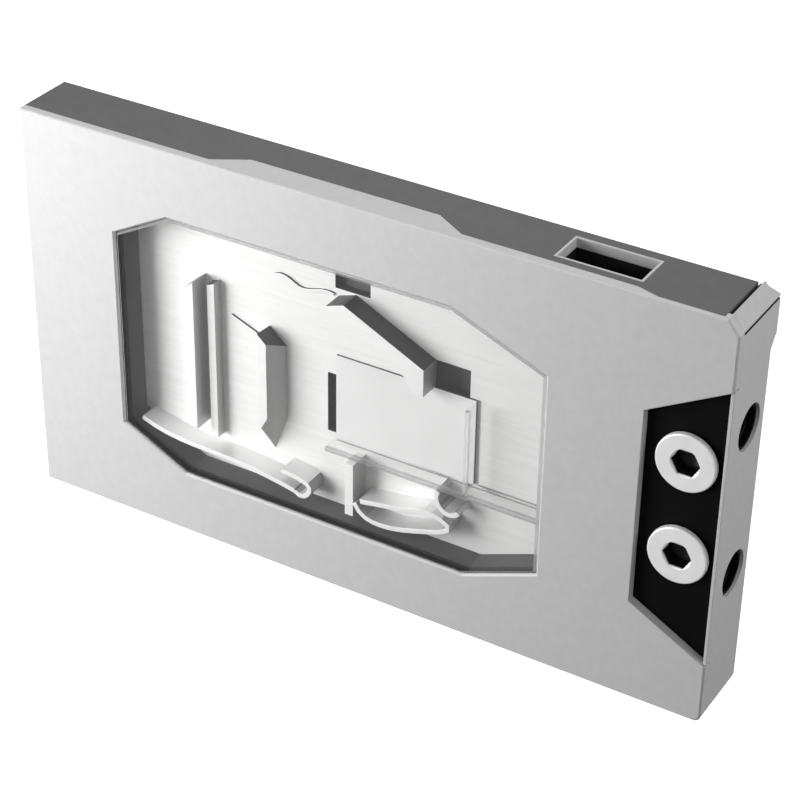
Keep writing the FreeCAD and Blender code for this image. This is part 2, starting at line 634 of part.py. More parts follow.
# ---- terminal, end plate and plugs -----------------------------------------------------------
def port_terminal():
    low, high = TERMINAL_MARGIN, TERMINAL_TOP
    left, inner = TERMINAL_LEFT, TERMINAL_LEFT + TERMINAL_CHAMFER
    outline = [(left, low + TERMINAL_CHAMFER), (inner, low), (END_X, low), (END_X, high),
               (inner, high), (left, high - TERMINAL_CHAMFER)]
    body = prism(outline, COVER_T, TERMINAL_BACK)
    nose = prism(notch_outline(TERMINAL_FIT, LENGTH - END_LIP), TERMINAL_FACE, NOSE_BACK)
    spigots = [cross_rod(END_PORT_DEPTH, z, SPIGOT_R, END_X, LENGTH - SPIGOT_SINK) for z in END_PORT_Z]
    cutters = [slot_block(WELL_T + TERMINAL_FIT, WELL_BOTTOM - TERMINAL_FIT, HEIGHT)]
    cutters += [rod(PORT_X, z, PORT_R, TERMINAL_FACE, FRONT_PORT_BACK) for z in FRONT_PORT_Z]
    cutters += [cross_rod(END_PORT_DEPTH, z, PORT_R, END_X - END_PORT_REACH, LENGTH) for z in END_PORT_Z]
    cutters += [passage(z, 0, FRAME_RIGHT, PORT_X) for z in PASSAGE_Z]
    cutters += [hex_rod(x, z, POST_FLATS + 2 * POST_FIT, COVER_T, TERMINAL_BACK) for x, z in flange_points()]
    return without(joined([body, nose] + spigots), cutters)


def side_gasket():
    """Flat gasket between channel frame and terminal, with a window for each passage."""
    plates = [passage(z, GASKET_W, FRAME_RIGHT, TERMINAL_LEFT) for z in PASSAGE_Z]
    strip = block((FRAME_RIGHT, TERMINAL_LEFT), (PASSAGE_FRONT, PASSAGE_FRONT + PASSAGE_W), PASSAGE_Z)
    return without(joined(plates + [strip]), [passage(z, 0, FRAME_RIGHT, TERMINAL_LEFT) for z in PASSAGE_Z])


def end_plate():
    plate = block((END_X, LENGTH), (COVER_T, END_DEPTH), (0, HEIGHT))
    closing = NOTCH_SLANT * END_LIP / NOTCH_WIDTH
    lip = block((LENGTH - END_LIP, LENGTH), (END_LIP_FRONT, COVER_T),
                (NOTCH_LOW + closing, NOTCH_HIGH - closing))
    flange = block((END_X - FLANGE_REACH, END_X), (TERMINAL_BACK, FLANGE_BACK),
                   (TERMINAL_MARGIN, TERMINAL_TOP))
    low, high = HEIGHT - EAR_LOW, HEIGHT - EAR_HIGH
    ear_line = [point(END_X, END_DEPTH, low - EAR_SLOPE), point(END_X, END_DEPTH + EAR_REACH, low),
                point(END_X, END_DEPTH + EAR_REACH, high), point(END_X, END_DEPTH, high + EAR_REACH)]
    ear = Part.Face(Part.makePolygon(ear_line + ear_line[:1])).extrude(point(END_T, 0, 0))
    plate = plate.makeFillet(CORNER_R, depth_edges(plate, LENGTH, 0))
    top_groove = block((END_X, END_X + GROOVE_W), (COVER_T - 1, END_DEPTH + 1),
                       (HEIGHT - GROOVE_T, HEIGHT + 1))
    end_low = HEIGHT - END_BEVEL[1] - END_GROOVE_W
    end_groove = block((LENGTH - GROOVE_T, LENGTH + 1), (COVER_T - 1, END_DEPTH + EAR_REACH + 1),
                       (end_low, end_low + END_GROOVE_W))
    rebate = prism(notch_outline(0, LENGTH - END_LIP), TERMINAL_FACE, NOSE_BACK)
    cutters = [top_groove, end_groove, rebate, corner_bevel()]
    cutters += [cross_rod(END_PORT_DEPTH, z, SPIGOT_R + TERMINAL_FIT, END_X, LENGTH) for z in END_PORT_Z]
    cutters += [rod(x, z, SCREW_HOLE_R, TERMINAL_BACK, FLANGE_BACK) for x, z in flange_points()]
    return without(joined([plate, lip, flange, ear]), cutters)


def plug_seal(z):
    inner, outer = [rod(PORT_X, z, radius, PLUG_BACK, TERMINAL_FACE) for radius in (PORT_R, PLUG_SEAL_R)]
    return outer.cut(inner)


def port_plug(z):
    front = PLUG_BACK - PLUG_HEAD_T
    head = rod(PORT_X, z, PLUG_R, front, PLUG_BACK)
    shank = rod(PORT_X, z, PORT_R, PLUG_BACK, TERMINAL_FACE + PLUG_THREAD)
    return joined([head, shank]).cut(hex_rod(PORT_X, z, PLUG_HEX, front, front + PLUG_HEX_T))


# ---- screws ----------------------------------------------------------------------------------
def screws(places, post_back, seat):
    """Hexagon-head screws entered from behind: post_back is the post's end, seat is under the head."""
    tip = post_back - THREAD_T + SCREW_SHORT
    made = []
    for x, z in places:
        head = hex_rod(x, z, HEAD_FLATS, seat, seat + HEAD_T)
        made.append(head.fuse(rod(x, z, SCREW_R, tip, seat)))
    return Part.makeCompound(made)


save("front_cover", front_cover())
save("cover_posts", cover_posts())
save("housing_frame", housing_frame())
save("slot_bezel", slot_bezel())
save("connector_well", connector_well())
save("clear_lid", clear_lid())
save("channel_frame", channel_frame())
save("lid_seal", lid_seal())
save("base_seal", base_seal())
save("cold_plate", cold_plate())
save("fin_cover", fin_cover())
save("port_terminal", port_terminal())
save("end_plate", end_plate())
save("side_gasket", side_gasket())
for name, port_z in zip(("lower", "upper"), FRONT_PORT_Z):
    save("port_plug_" + name, port_plug(port_z))
    save("plug_seal_" + name, plug_seal(port_z))
save("clamp_screws", screws(clamp_points(), FLOOR, PLATE_BACK))
save("rail_screws", screws(lug_points(), RAIL_POST_BACK, RAIL_POST_BACK + LUG_T))
save("end_plate_screws", screws(flange_points(), TERMINAL_BACK, FLANGE_BACK))
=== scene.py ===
import json
import math

import bmesh
import bpy
from mathutils import Matrix, Vector


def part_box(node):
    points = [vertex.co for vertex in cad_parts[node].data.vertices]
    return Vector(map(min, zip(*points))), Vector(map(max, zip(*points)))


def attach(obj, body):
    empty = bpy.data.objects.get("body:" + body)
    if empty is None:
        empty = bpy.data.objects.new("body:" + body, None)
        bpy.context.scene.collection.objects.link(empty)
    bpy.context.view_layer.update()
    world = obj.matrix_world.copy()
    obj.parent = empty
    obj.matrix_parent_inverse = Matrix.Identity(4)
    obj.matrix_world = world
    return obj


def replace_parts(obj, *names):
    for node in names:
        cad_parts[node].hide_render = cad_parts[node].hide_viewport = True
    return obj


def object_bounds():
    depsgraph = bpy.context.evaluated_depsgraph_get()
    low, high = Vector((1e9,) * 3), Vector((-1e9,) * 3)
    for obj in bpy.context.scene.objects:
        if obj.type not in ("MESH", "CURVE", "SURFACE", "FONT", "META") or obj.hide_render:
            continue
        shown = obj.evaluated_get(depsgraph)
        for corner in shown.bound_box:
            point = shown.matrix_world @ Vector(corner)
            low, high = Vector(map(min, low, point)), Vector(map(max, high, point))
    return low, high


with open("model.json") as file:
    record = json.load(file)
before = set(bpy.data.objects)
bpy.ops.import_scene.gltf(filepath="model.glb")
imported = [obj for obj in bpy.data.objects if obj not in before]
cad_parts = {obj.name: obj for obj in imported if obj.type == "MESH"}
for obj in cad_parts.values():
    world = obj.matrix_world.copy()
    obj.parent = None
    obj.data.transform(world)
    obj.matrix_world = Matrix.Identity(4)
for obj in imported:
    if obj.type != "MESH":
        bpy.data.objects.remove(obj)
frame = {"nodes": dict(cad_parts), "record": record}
cad_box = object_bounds()
NODES = frame["nodes"]
MM = 0.001

# ---- camera: the view of a studio product shot, from the front right and above -----------------
AIM = Vector((0.0162, cad_box[0][1], 0.0754))
AZIMUTH = math.radians(30.41)
ELEVATION = math.radians(32.64)
ROLL = math.radians(0.94)
DISTANCE = 0.6796
LENS = 106.7
SENSOR = 36.0
CLIP_START = 0.01

# ---- studio ------------------------------------------------------------------------------------
FLOOR_SIZE = 8.0
FLOOR_COLOUR = (0.55, 0.55, 0.55)
FLOOR_GRAIN = 0.99                          # its darkest tone, as a share of its colour
FLOOR_GLOW = 0.85
LIGHT_SIDE = (-0.75, -0.45, 0.10)           # the room is lighter towards this side
LIGHT_SIDE_SPAN = (-0.6, 0.8)               # cosines where that light starts and is full
LIGHT_SIDE_GLOW = (0.03, 0.33)
BACK_SIDE = (0.15, 1.0, 0.05)               # and behind the block, for views of its back
BACK_SIDE_SPAN = (0.25, 0.85)
BACK_SIDE_GLOW = (0.0, 0.68)
KEY_PLACE = (-0.36, -0.33, 0.14)
KEY_AIM = (-0.06, 0.0, 0.065)
KEY_SIZE = (0.34, 0.34)
KEY_POWER = 3.7
OVERHEAD_PLACE = (-0.22, 0.18, 0.66)
OVERHEAD_AIM = (0.0, 0.0, 0.05)
OVERHEAD_SIZE = (0.5, 0.3)
OVERHEAD_POWER = 1.6
SIDE_PLACE = (0.50, -0.05, 0.34)
SIDE_AIM = (0.117, 0.0, 0.10)
SIDE_SIZE = (0.4, 0.4)
SIDE_POWER = 1.35

# ---- places from the frame, that the finishes, their painted light and shade, and the finer detail follow ---
CHAMBER_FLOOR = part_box("base_seal")[1][1]
CHAMBER_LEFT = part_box("base_seal")[0][0]
CHAMBER_LIGHT_FALL = 40 * MM                      # painted light: the plate is painted lighter at the left, falling off over this width
POCKET_START = CHAMBER_FLOOR + 0.2 * MM
POCKET_END = CHAMBER_FLOOR + 3.3 * MM
LID_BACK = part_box("lid_seal")[1][1]
WEB_SPAN = (LID_BACK + 0.1 * MM, LID_BACK + 0.3 * MM)
WEB_FOOT_SPAN = (CHAMBER_FLOOR - 0.9 * MM, CHAMBER_FLOOR - 0.6 * MM)
DIVIDER_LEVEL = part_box("fin_cover")[1][2] - 8 * MM      # the divider's upper side lies above it
VANE_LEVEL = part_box("fin_cover")[0][2]                  # the vanes lie below it
LEVEL_BLEND = 2 * MM
END_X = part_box("end_plate")[1][0]
TOP_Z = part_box("end_plate")[1][2]
# the two grooves at the end plate's bevelled corner, painted dark as their shade, each as the x and z of
# its low and high corner
END_GROOVES = [((END_X - 6 * MM, TOP_Z - 1.3 * MM), (END_X - 3.8 * MM, TOP_Z - 0.2 * MM)),
               ((END_X - 1.3 * MM, TOP_Z - 5.5 * MM), (END_X - 0.05 * MM, TOP_Z - 4.45 * MM))]
END_PORT_RISES = [mount["pos_m"][2] for mount in frame["record"]["mounts"]
                  if mount["name"].startswith("end_port")]
END_PORT_IN = 13.1 * MM                     # the end ports' axes behind the end plate's front edge

# ---- tones, as shares of white, and how dense the lid is ---------------------------------------
# painted shade inside the end plate's grooves
PAINTED_GROOVE_SHADE_TONE = 0.015
ACETAL_GRAIN = 0.85                         # its darkest tone, as a share of its colour
LID_COLOUR = (0.95, 0.95, 0.96)
LID_FACE_DENSITY = 0.05                     # of what its sides would have
# the lid's sides: painted highlights, and painted shade where they face up
RIM_HIGHLIGHT_TONE, RIM_LEDGE_SHADE_TONE, RIM_DENSITY = 0.95, 0.35, 0.60
WEB_TONE, WEB_DENSITY = 0.90, 0.07
# a painted shadow line at the feet of the lid's webs
WEB_FOOT_SHADOW_TONE, WEB_FOOT_SHADOW_DENSITY = 0.12, 0.65
PLATE_FACE_PAINTED_LIGHT_TONES = (0.98, 0.86)             # at the chamber's left, and past the light's fall: painted light, lighter towards the left
# its walls: painted shade, lighter towards the left as painted light
PLATE_WALL_LIGHT_AND_SHADE_TONES = (0.98, 0.47)
PLATE_METALLIC = (0.6, 0.15)                # of its walls, and of its faces
# up-facing ledges, painted by how light falls on them: painted shade, darkest on the divider's upper
# side, lighter on the vanes
LEDGE_SHADE_TONE = 0.24
DIVIDER_LEDGE_SHADE_TONE = 0.035
VANE_LEDGE_LIT_TONE = 0.80
# painted shade in the plate's deep pockets
POCKET_SHADE_TONE = 0.07
# painted shade on the cut edges of the nickel sheet
SHEET_EDGE_SHADE_TONE = 0.10
# painted shade inside the plugs' hexagon sockets
SOCKET_SHADE_TONE = 0.012

# ---- finer detail ------------------------------------------------------------------------------
MILLED = (0.05, 1, 1)                       # stretch of cutter lines that run along the block
MILLED_ACETAL = (0.08, 1, 1)
ROLLED = (1, 1, 0.05)                       # and of rolling lines that run up it
THREAD_PITCH = 1.337 * MM
THREAD_WALL = 5.92 * MM
THREAD_HEIGHT = 0.45 * MM
THREAD_LIFT = 0.02 * MM                     # the ridge's least height, at its two ends
THREAD_HALF_FOOT = 0.42                     # of the pitch
THREAD_TURNS = 8
THREAD_FADE = 0.5                           # turns over which the ridge grows
THREAD_STEPS = 48
THREAD_START = END_X - 2.2 * MM
PLUG_HEAD_T = 1.8 * MM
PLUG_SHANK_R = 5.85 * MM
PLUG_SHANK_BREAK = 0.6 * MM
PLUG_BREAK = 0.45 * MM
PLUG_BREAK_MIDDLE = 0.3                     # of the break, where its two slopes meet
PLUG_MOUTH_R = 4.45 * MM
PLUG_MOUTH_SINK = 0.35 * MM
PLUG_FLATS = 7.6 * MM
PLUG_SOCKET = 4.6 * MM
PLUG_POINT_SHOULDER = (0.4 * MM, 0.05 * MM)     # the drilled point's, in from the flats and down
PLUG_POINT_R = 0.1 * MM
PLUG_POINT_DEPTH = 0.9 * MM                 # the drilled point's, behind the socket's bottom
PLUG_STEPS = 96
SOCKET_REACH = 4.6 * MM                     # past the hexagon's corners, inside the plug's ring
SOCKET_BLEND = 0.2 * MM
SOCKET_SHADE = (0.15 * MM, 0.7 * MM)        # depths where the socket's painted shade starts and is full
TURNED_STEP = 0.25 * MM


# ---- shader helpers ----------------------------------------------------------------------------
def grey(tone):
    return (tone, tone, tone)


def darker(colour, share):
    return tuple(share * part for part in colour)


class Nodes:
    """A node tree under construction."""

    def __init__(self, tree):
        self.tree = tree

    def add(self, kind, **settings):
        node = self.tree.nodes.new(kind)
        for key, value in settings.items():
            setattr(node, key, value)
        return node

    def link(self, source, target):
        self.tree.links.new(source, target)

    def span(self, factor, low, high, start=0.0, end=1.0):
        """A factor between two limits as a value between two others."""
        node = self.add("ShaderNodeMapRange")
        for name, value in (("From Min", start), ("From Max", end), ("To Min", low), ("To Max", high)):
            node.inputs[name].default_value = value
        self.link(factor, node.inputs["Value"])
        return node.outputs["Result"]

    def maths(self, operation, first, second=0.0):
        """One operation on one or two sockets or numbers."""
        node = self.add("ShaderNodeMath", operation=operation)
        for value, socket in ((first, node.inputs[0]), (second, node.inputs[1])):
            if isinstance(value, (int, float)):
                socket.default_value = value
            else:
                self.link(value, socket)
        return node.outputs[0]


class Shader(Nodes):
    """A material under construction, with one Principled shader."""

    def __init__(self, name):
        self.material = bpy.data.materials.new(name)
        self.material.use_nodes = True
        super().__init__(self.material.node_tree)
        self.base = self.tree.nodes["Principled BSDF"]
        self.place = self.add("ShaderNodeTexCoord").outputs["Object"]

    def set(self, **values):
        for key, value in values.items():
            self.base.inputs[key.replace("_", " ")].default_value = value

    def noise(self, scale, detail=2.0, stretch=(1, 1, 1)):
        """Noise in the object's own space: scale is features a metre."""
        mapping = self.add("ShaderNodeMapping")
        mapping.inputs["Scale"].default_value = stretch
        self.link(self.place, mapping.inputs["Vector"])
        noise = self.add("ShaderNodeTexNoise")
        noise.inputs["Scale"].default_value = scale
        noise.inputs["Detail"].default_value = detail
        self.link(mapping.outputs["Vector"], noise.inputs["Vector"])
        return noise.outputs["Fac"]

    def part(self, output, letter):
        """One part of the position ("Object") or of the surface direction ("Normal")."""
        split = self.add("ShaderNodeSeparateXYZ")
        self.link(self.add("ShaderNodeTexCoord").outputs[output], split.inputs[0])
        return split.outputs[letter]

    def facing(self, start, end):
        """1 on surfaces that face the front or the back, 0 on the sides between them."""
        return self.span(self.maths("ABSOLUTE", self.part("Normal", "Y")), 0, 1, start, end)

    def rising(self, start, end):
        """1 on surfaces that face up, 0 on upright ones."""
        return self.span(self.part("Normal", "Z"), 0, 1, start, end)

    def mix(self, factor, first, second):
        """Two colours or sockets mixed by a factor."""
        node = self.add("ShaderNodeMix", data_type="RGBA")
        self.link(factor, node.inputs[0])
        for value, socket in ((first, node.inputs[6]), (second, node.inputs[7])):
            if isinstance(value, tuple):
                socket.default_value = (*value, 1)
            else:
                self.link(value, socket)
        return node.outputs[2]

    def product(self, first, second):
        """Two colours multiplied."""
        node = self.add("ShaderNodeMix", data_type="RGBA", blend_type="MULTIPLY")
        node.inputs[0].default_value = 1.0
        self.link(first, node.inputs[6])
        self.link(second, node.inputs[7])
        return node.outputs[2]

    def grain(self, factor, low, high, start=0.3, end=0.7):
        """A factor as a colour between two greys."""
        ramp = self.add("ShaderNodeValToRGB")
        ramp.color_ramp.elements[0].position = start
        ramp.color_ramp.elements[0].color = (*low, 1)
        ramp.color_ramp.elements[1].position = end
        ramp.color_ramp.elements[1].color = (*high, 1)
        self.link(factor, ramp.inputs["Fac"])
        return ramp.outputs["Color"]

    def paint(self, colour):
        self.link(colour, self.base.inputs["Base Color"])

    def tint(self, factor, low, high):
        self.paint(self.grain(factor, low, high))

    def roughen(self, factor, low, high):
        self.link(self.span(factor, low, high), self.base.inputs["Roughness"])

    def bump(self, height, depth, strength=0.5, edge=0.0):
        """Relief of a depth in metres, over edges softened by a bevel of a radius in metres."""
        bump = self.add("ShaderNodeBump")
        bump.inputs["Strength"].default_value = strength
        bump.inputs["Distance"].default_value = depth
        self.link(height, bump.inputs["Height"])
        if edge:
            bevel = self.add("ShaderNodeBevel", samples=4)
            bevel.inputs["Radius"].default_value = edge
            self.link(bevel.outputs["Normal"], bump.inputs["Normal"])
        self.link(bump.outputs["Normal"], self.base.inputs["Normal"])


def blasted_silver(name, grooves=()):
    """Bead-blasted, clear anodised aluminium, with painted shade inside its grooves (boxes: low and high
    corner).
    """
    shader = Shader(name)
    shader.set(Metallic=0.15)
    colour = shader.grain(shader.noise(420), (0.522, 0.522, 0.527), (0.548, 0.548, 0.553))
    # painted shade: each groove's box is painted dark
    for low, high in grooves:
        inside = 1.0
        for letter, start, end in zip("XZ", low, high):
            place = shader.part("Object", letter)
            inside = shader.maths("MULTIPLY", inside, shader.maths("GREATER_THAN", place, start))
            inside = shader.maths("MULTIPLY", inside, shader.maths("LESS_THAN", place, end))
        colour = shader.mix(inside, colour, grey(PAINTED_GROOVE_SHADE_TONE))
    shader.paint(colour)
    shader.roughen(shader.noise(900), 0.55, 0.65)
    shader.bump(shader.noise(5000, detail=3), depth=0.03 * MM, strength=0.5, edge=0.4 * MM)
    return shader.material


def dark_anodised():
    """Dark grey anodised aluminium."""
    shader = Shader("dark_anodised")
    shader.set(Metallic=0.35)
    shader.tint(shader.noise(260), (0.104, 0.104, 0.106), (0.114, 0.114, 0.116))
    shader.roughen(shader.noise(1200), 0.48, 0.60)
    shader.bump(shader.noise(4200, detail=3), depth=0.03 * MM, strength=0.5, edge=0.4 * MM)
    return shader.material


def milled_acetal(name, colour):
    """Milled acetal: satin, with fine cutter lines."""
    shader = Shader(name)
    shader.tint(shader.noise(120), darker(colour, ACETAL_GRAIN), colour)
    shader.set(Roughness=0.5, Specular_IOR_Level=0.06)
    shader.bump(shader.noise(2500, 1, MILLED_ACETAL), depth=0.03 * MM, strength=0.4, edge=0.3 * MM)
    return shader.material


def moulded_black():
    """Matt moulded plastic."""
    shader = Shader("moulded_black")
    shader.tint(shader.noise(200), grey(0.008), grey(0.014))
    shader.set(Roughness=0.6, Specular_IOR_Level=0.2)
    shader.bump(shader.noise(3000), depth=0.04 * MM, strength=0.5, edge=0.2 * MM)
    return shader.material


def seal_rubber():
    """Soft black seal rubber."""
    shader = Shader("seal_rubber")
    shader.tint(shader.noise(300), grey(0.010), grey(0.018))
    shader.set(Roughness=0.75, Specular_IOR_Level=0.3)
    shader.bump(shader.noise(6000), depth=0.02 * MM, strength=0.4)
    return shader.material


def clear_acrylic():
    """Polished clear plate: denser through its bevels and sides, which carry painted highlights, with
    painted shade where they face up; its webs carry a painted shadow line at their feet.
    """
    shader = Shader("clear_acrylic")
    depth = shader.part("Object", "Y")
    is_face = shader.facing(0.8, 0.97)
    is_ledge = shader.rising(0.2, 0.5)
    is_web = shader.span(depth, 0, 1, *WEB_SPAN)
    # a painted shadow line on up-facing sides at the webs' feet
    is_foot = shader.maths("MULTIPLY", is_ledge, shader.span(depth, 0, 1, *WEB_FOOT_SPAN))
    # painted highlights on the lid's sides, painted shade on those that face up
    rim = shader.mix(is_ledge, grey(RIM_HIGHLIGHT_TONE), grey(RIM_LEDGE_SHADE_TONE))
    web = shader.mix(is_foot, grey(WEB_TONE), grey(WEB_FOOT_SHADOW_TONE))
    shader.paint(shader.mix(is_face, shader.mix(is_web, rim, web), LID_COLOUR))
    side_density = shader.maths("MAXIMUM", shader.span(is_web, RIM_DENSITY, WEB_DENSITY),
                                shader.span(is_foot, 0, WEB_FOOT_SHADOW_DENSITY))
    density = shader.maths("MULTIPLY", side_density, shader.span(is_face, 1, LID_FACE_DENSITY))
    shader.link(density, shader.base.inputs["Alpha"])
    shader.set(Roughness=0.06, Specular_IOR_Level=0.35)
    shader.bump(shader.noise(25, detail=1), depth=0.02 * MM, strength=0.2)
    return shader.material


def nickel_plate():
    """Nickel plate: bright satin faces and vanes; painted shade on its walls, ledges and deep pockets,
    and painted light towards the chamber's left.
    """
    shader = Shader("nickel_plate")
    grain = shader.grain(shader.noise(700, 3, MILLED), (0.93, 0.93, 0.92), (1.0, 1.0, 0.99))
    # painted light: the plate is painted lighter towards the chamber's left
    across = shader.span(shader.part("Object", "X"), 0, 1, CHAMBER_LEFT, CHAMBER_LEFT + CHAMBER_LIGHT_FALL)
    face, wall = (shader.product(grain, shader.mix(across, grey(left), grey(right)))
                  for left, right in (PLATE_FACE_PAINTED_LIGHT_TONES, PLATE_WALL_LIGHT_AND_SHADE_TONES))
    depth, rise = shader.part("Object", "Y"), shader.part("Object", "Z")
    # painted shade: surfaces at the pockets' depth are painted dark
    in_pocket = shader.maths("MULTIPLY", shader.maths("GREATER_THAN", depth, POCKET_START),
                             shader.maths("LESS_THAN", depth, POCKET_END))
    at_divider = shader.span(rise, 0, 1, DIVIDER_LEVEL, DIVIDER_LEVEL + LEVEL_BLEND)
    at_vanes = shader.span(rise, 1, 0, VANE_LEVEL, VANE_LEVEL + LEVEL_BLEND)
    on_vanes = shader.maths("MULTIPLY", at_vanes, shader.rising(0.7, 0.92))
    # painted shade on the up-facing ledges, lighter on the vanes
    ledge = shader.mix(at_divider, grey(LEDGE_SHADE_TONE), grey(DIVIDER_LEDGE_SHADE_TONE))
    ledge = shader.mix(on_vanes, ledge, grey(VANE_LEDGE_LIT_TONE))
    is_face = shader.facing(0.5, 0.8)
    # painted shade on the walls, darker on the ledges that face up
    walls = shader.mix(shader.rising(0.15, 0.55), wall, ledge)
    shader.paint(shader.mix(in_pocket, shader.mix(is_face, walls, face), grey(POCKET_SHADE_TONE)))
    shader.link(shader.span(is_face, *PLATE_METALLIC), shader.base.inputs["Metallic"])
    shader.roughen(shader.noise(700), 0.42, 0.52)
    shader.bump(shader.noise(1800, 2, MILLED), depth=0.03 * MM, strength=0.3, edge=0.3 * MM)
    return shader.material


def nickel_sheet():
    """Rolled nickel sheet, a little greyer than the plate round it, with painted shade on its cut edges.
    """
    shader = Shader("nickel_sheet")
    face = shader.grain(shader.noise(90), (0.76, 0.76, 0.755), (0.80, 0.80, 0.795))
    # painted shade on the sheet's cut edges
    shader.paint(shader.mix(shader.facing(0.5, 0.8), grey(SHEET_EDGE_SHADE_TONE), face))
    shader.set(Metallic=0.15)
    shader.roughen(shader.noise(700), 0.40, 0.50)
    shader.bump(shader.noise(1800, 2, ROLLED), depth=0.03 * MM, strength=0.35)
    return shader.material


def turned_plug(name, node):
    """A nickel-plated plug: fine rings from turning round its axis, and painted shade in its hexagon
    socket.
    """
    low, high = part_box(node)
    axis_x, axis_z = (low[0] + high[0]) / 2, (low[2] + high[2]) / 2
    shader = Shader(name)
    across = shader.maths("SUBTRACT", shader.part("Object", "X"), axis_x)
    up = shader.maths("SUBTRACT", shader.part("Object", "Z"), axis_z)
    radius = shader.maths("SQRT", shader.maths("ADD", shader.maths("MULTIPLY", across, across),
                                               shader.maths("MULTIPLY", up, up)))
    shade_start, shade_full = (low[1] + depth for depth in SOCKET_SHADE)
    deep = shader.span(shader.part("Object", "Y"), 0, 1, shade_start, shade_full)
    inner = shader.span(radius, 1, 0, SOCKET_REACH, SOCKET_REACH + SOCKET_BLEND)
    ring = shader.grain(shader.noise(150), (0.86, 0.86, 0.855), (0.92, 0.92, 0.915))
    # painted shade deep inside the hexagon socket
    shader.paint(shader.mix(shader.maths("MULTIPLY", deep, inner), ring, grey(SOCKET_SHADE_TONE)))
    shader.set(Metallic=0.2)
    shader.roughen(shader.noise(700), 0.34, 0.42)
    rings = shader.maths("SINE", shader.maths("MULTIPLY", radius, 2 * math.pi / TURNED_STEP))
    shader.bump(rings, depth=0.01 * MM, strength=0.3, edge=0.3 * MM)
    return shader.material


def zinc_steel():
    """Zinc-plated steel of screws and posts."""
    shader = Shader("zinc_steel")
    shader.set(Metallic=1.0)
    shader.tint(shader.noise(400), (0.42, 0.42, 0.43), (0.52, 0.52, 0.53))
    shader.roughen(shader.noise(1500), 0.28, 0.4)
    shader.bump(shader.noise(3500), depth=0.02 * MM, strength=0.5, edge=0.15 * MM)
    return shader.material


def dress(material, *names):
    for name in names:
        mesh = NODES[name].data
        mesh.materials.clear()
        mesh.materials.append(material)


def dress_frame():
    """Every carried-over part gets its finish."""
    dress(blasted_silver("silver_blasted"), "front_cover", "slot_bezel")
    dress(blasted_silver("silver_groove_shaded", END_GROOVES), "end_plate")
    dress(dark_anodised(), "housing_frame")
    dress(milled_acetal("dark_acetal", (0.095, 0.095, 0.096)), "channel_frame")
    dress(milled_acetal("black_acetal", grey(0.004)), "port_terminal")
    dress(moulded_black(), "connector_well")
    dress(clear_acrylic(), "clear_lid")
    dress(nickel_plate(), "cold_plate")
    dress(nickel_sheet(), "fin_cover")
    dress(zinc_steel(), "clamp_screws", "rail_screws", "cover_posts", "end_plate_screws")
    dress(seal_rubber(), "lid_seal", "base_seal", "side_gasket", "plug_seal_lower", "plug_seal_upper")


# ---- pieces in finer detail --------------------------------------------------------------------
def add_piece(name, rows, material):
    """A solid from closed rows of points, each joined to the next, with its first and last row capped."""
    mesh = bmesh.new()
    made = [[mesh.verts.new(point) for point in row] for row in rows]
    for first, second in zip(made, made[1:]):
        count = len(first)
        for i in range(count):
            mesh.faces.new((first[i], first[(i + 1) % count], second[(i + 1) % count], second[i]))
    mesh.faces.new(made[0][::-1])
    mesh.faces.new(made[-1])
    bmesh.ops.recalc_face_normals(mesh, faces=mesh.faces)
    data = bpy.data.meshes.new(name)
    mesh.to_mesh(data)
    mesh.free()
    data.materials.append(material)
    piece = bpy.data.objects.new(name, data)
    bpy.context.collection.objects.link(piece)
    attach(piece, "root")
    return piece


def port_thread(name, middle_y, middle_z, material):
    """The thread in an open end port: a ridge wound along the bore's wall, growing at its two ends."""
    half_foot = THREAD_PITCH * THREAD_HALF_FOOT
    rows = []
    for step in range(THREAD_TURNS * THREAD_STEPS + 1):
        turn = step / THREAD_STEPS
        angle = 2 * math.pi * turn
        growth = min(1, turn / THREAD_FADE, (THREAD_TURNS - turn) / THREAD_FADE)
        middle_x = THREAD_START - turn * THREAD_PITCH
        crest = THREAD_WALL - THREAD_HEIGHT * growth - THREAD_LIFT
        cosine, sine = math.cos(angle), math.sin(angle)
        profile = ((-half_foot, THREAD_WALL), (0, crest), (half_foot, THREAD_WALL))
        rows.append([(middle_x + along, middle_y + radius * cosine, middle_z + radius * sine)
                     for along, radius in profile])
    add_piece(name, rows, material)


def plug_row(middle_x, middle_z, radius, depth, is_hexagon):
    """Points round a plug's axis, on a circle or on a hexagon with this radius inside its flats."""
    points = []
    for i in range(PLUG_STEPS):
        angle = 2 * math.pi * i / PLUG_STEPS
        reach = radius / math.cos((angle % (math.pi / 3)) - math.pi / 6) if is_hexagon else radius
        points.append((middle_x + reach * math.cos(angle), depth, middle_z + reach * math.sin(angle)))
    return points


